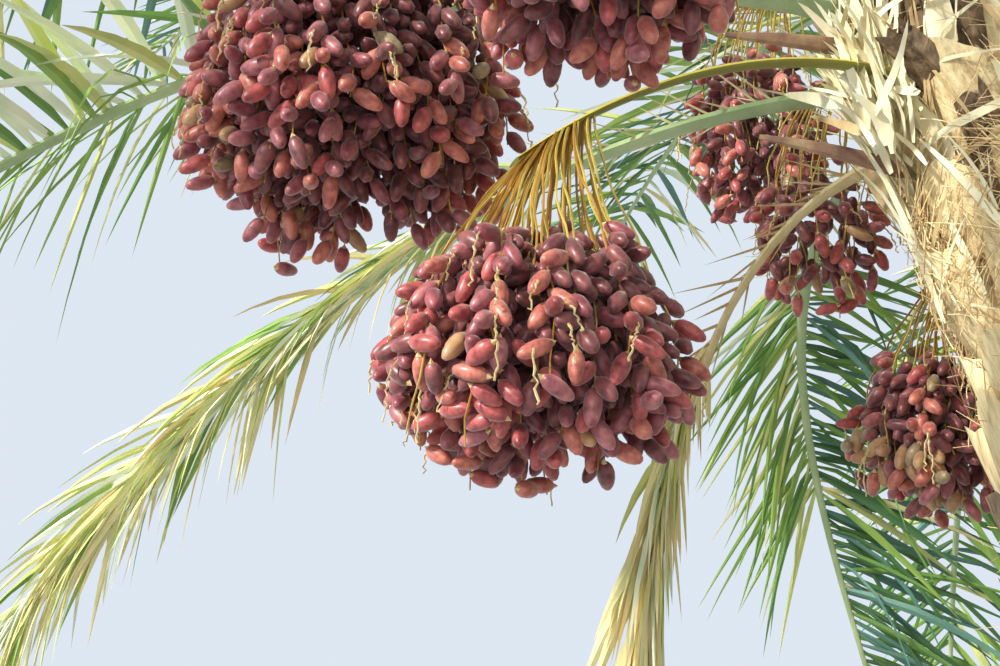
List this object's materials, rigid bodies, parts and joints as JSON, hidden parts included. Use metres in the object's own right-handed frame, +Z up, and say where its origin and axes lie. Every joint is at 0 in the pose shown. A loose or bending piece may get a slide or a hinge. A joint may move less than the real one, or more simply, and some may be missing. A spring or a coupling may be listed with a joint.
{
  "type": "date palm tree",
  "caption": "Fruiting date palm: one scaly trunk, arching feather fronds all round, and date bunches hanging from arched stalks.",
  "frame": {"origin": "centre of the flat cut under the trunk, at ground level", "axes": "+Z up along the trunk; -X towards the side where the longest fruit stalks reach out, and the trunk leans that way"},
  "size_m": [6.0537, 6.3304, 5.5236],
  "materials": {
    "bark": "rough, fibrous leaf bases",
    "stalk": "smooth, slightly waxy",
    "green_frond": "leathery, slightly waxy",
    "dry_frond": "dry and papery",
    "dates": "satin skin with a dusty bloom"
  },
  "bodies": {
    "root": {"date_bunch_1": "dates", "date_bunch_2": "dates", "date_bunch_3": "dates", "date_bunch_4": "dates", "date_bunch_5": "dates", "date_bunch_6": "dates", "date_bunch_7": "dates", "date_bunch_8": "dates", "date_bunch_9": "dates", "dry_frond_1_inner": "dry_frond", "dry_frond_1_outer": "dry_frond", "dry_frond_2_inner": "dry_frond", "dry_frond_2_outer": "dry_frond", "dry_frond_3_inner": "dry_frond", "dry_frond_3_outer": "dry_frond", "fruit_stalk_1": "stalk", "fruit_stalk_2": "stalk", "fruit_stalk_3": "stalk", "fruit_stalk_4": "stalk", "fruit_stalk_5": "stalk", "fruit_stalk_6": "stalk", "fruit_stalk_7": "stalk", "fruit_stalk_8": "stalk", "fruit_stalk_9": "stalk", "heart_fronds_1": "green_frond", "middle_frond_1": "green_frond", "middle_frond_10": "green_frond", "middle_frond_2": "green_frond", "middle_frond_3": "green_frond", "middle_frond_4": "green_frond", "middle_frond_5": "green_frond", "middle_frond_6": "green_frond", "middle_frond_7": "green_frond", "middle_frond_8": "green_frond", "middle_frond_9": "green_frond", "outer_frond_1": "green_frond", "outer_frond_2": "green_frond", "outer_frond_3": "green_frond", "outer_frond_4": "green_frond", "outer_frond_5": "green_frond", "outer_frond_6": "green_frond", "outer_frond_7": "green_frond", "outer_frond_8": "green_frond", "outer_frond_9": "green_frond", "skirt_frond_1_inner": "green_frond", "skirt_frond_1_outer": "green_frond", "skirt_frond_2_inner": "green_frond", "skirt_frond_2_outer": "green_frond", "skirt_frond_3_inner": "green_frond", "skirt_frond_3_outer": "green_frond", "skirt_frond_4_inner": "green_frond", "skirt_frond_4_outer": "green_frond", "trunk": "bark", "upper_fronds_1": "green_frond", "upper_fronds_2": "green_frond", "upper_fronds_3": "green_frond", "upper_fronds_4": "green_frond", "young_fronds_1": "green_frond", "young_fronds_2": "green_frond", "young_fronds_3": "green_frond"}
  },
  "joints": []
}
